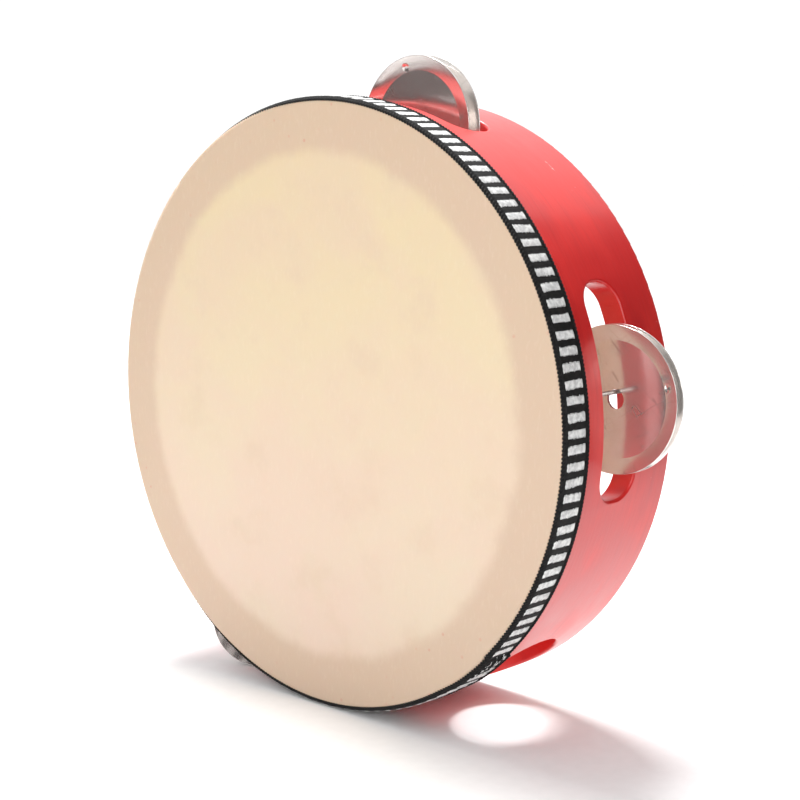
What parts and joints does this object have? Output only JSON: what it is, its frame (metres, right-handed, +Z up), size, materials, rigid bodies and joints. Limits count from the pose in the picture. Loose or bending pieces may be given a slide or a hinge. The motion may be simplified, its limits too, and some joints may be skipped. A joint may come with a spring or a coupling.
{
  "type": "tambourine",
  "caption": "Small hand tambourine standing on its rim: a red wooden hoop with a stretched skin, woven trim, a thumb hole and pairs of steel jingles that spin and slide on nails.",
  "frame": {"origin": "centre of the bounding box at floor level, under the standing rim", "axes": "+Z up, hoop axis along Y with the head facing -Y and the open back facing +Y, +X to the player's right as seen from the head"},
  "size_m": [0.178, 0.043, 0.1647],
  "materials": {
    "painted_wood": "glossy red paint over bent wood",
    "skin": "cream rawhide skin, mottled, with a darker ring round the edge",
    "braid": "black ribbon with silver-white woven bars",
    "jingle_steel": "nickel-plated pressed sheet, lightly scratched",
    "pin_steel": "plain steel wire nail"
  },
  "bodies": {
    "drum": {"hoop": "painted_wood", "drum_head": "skin", "braid_trim": "braid"},
    "nail_right": {"pin_right": "pin_steel"},
    "disc_right_front": {"jingle_right_front": "jingle_steel"},
    "disc_right_rear": {"jingle_right_rear": "jingle_steel"},
    "nail_top": {"pin_top": "pin_steel"},
    "disc_top_front": {"jingle_top_front": "jingle_steel"},
    "disc_top_rear": {"jingle_top_rear": "jingle_steel"},
    "nail_left": {"pin_left": "pin_steel"},
    "disc_left_front": {"jingle_left_front": "jingle_steel"},
    "disc_left_rear": {"jingle_left_rear": "jingle_steel"},
    "nail_lower": {"pin_lower": "pin_steel"},
    "disc_lower_front": {"jingle_lower_front": "jingle_steel"},
    "disc_lower_rear": {"jingle_lower_rear": "jingle_steel"}
  },
  "joints": [
    {"name": "right_pair_spin", "type": "hinge", "parent": "drum", "child": "nail_right", "pos_m": [0.07151, 0, 0.08621], "axis": [0, 1, 0], "continuous": true},
    {"name": "right_front_rattle", "type": "slide", "parent": "nail_right", "child": "disc_right_front", "axis": [0, 1, 0], "range_m": [-0.006, 0.00005]},
    {"name": "right_rear_rattle", "type": "slide", "parent": "nail_right", "child": "disc_right_rear", "axis": [0, 1, 0], "range_m": [-0.00005, 0.0024]},
    {"name": "top_pair_spin", "type": "hinge", "parent": "drum", "child": "nail_top", "pos_m": [0.01258, 0, 0.14899], "axis": [0, 1, 0], "range_deg": [-20, 190]},
    {"name": "top_front_rattle", "type": "slide", "parent": "nail_top", "child": "disc_top_front", "axis": [0, 1, 0], "range_m": [-0.001, 0.0007]},
    {"name": "top_rear_rattle", "type": "slide", "parent": "nail_top", "child": "disc_top_rear", "axis": [0, 1, 0], "range_m": [-0.0007, 0.0012]},
    {"name": "left_pair_spin", "type": "hinge", "parent": "drum", "child": "nail_left", "pos_m": [-0.07151, 0, 0.10276], "axis": [0, 1, 0], "continuous": true},
    {"name": "left_front_rattle", "type": "slide", "parent": "nail_left", "child": "disc_left_front", "axis": [0, 1, 0], "range_m": [-0.0042, 0.00005]},
    {"name": "left_rear_rattle", "type": "slide", "parent": "nail_left", "child": "disc_left_rear", "axis": [0, 1, 0], "range_m": [-0.00005, 0.0042]},
    {"name": "lower_pair_spin", "type": "hinge", "parent": "drum", "child": "nail_lower", "pos_m": [-0.04129, 0, 0.01476], "axis": [0, 1, 0], "range_deg": [-6, 6]},
    {"name": "lower_front_rattle", "type": "slide", "parent": "nail_lower", "child": "disc_lower_front", "axis": [0, 1, 0], "range_m": [-0.0012, 0.00005]},
    {"name": "lower_rear_rattle", "type": "slide", "parent": "nail_lower", "child": "disc_lower_rear", "axis": [0, 1, 0], "range_m": [-0.00005, 0.0004]}
  ]
}
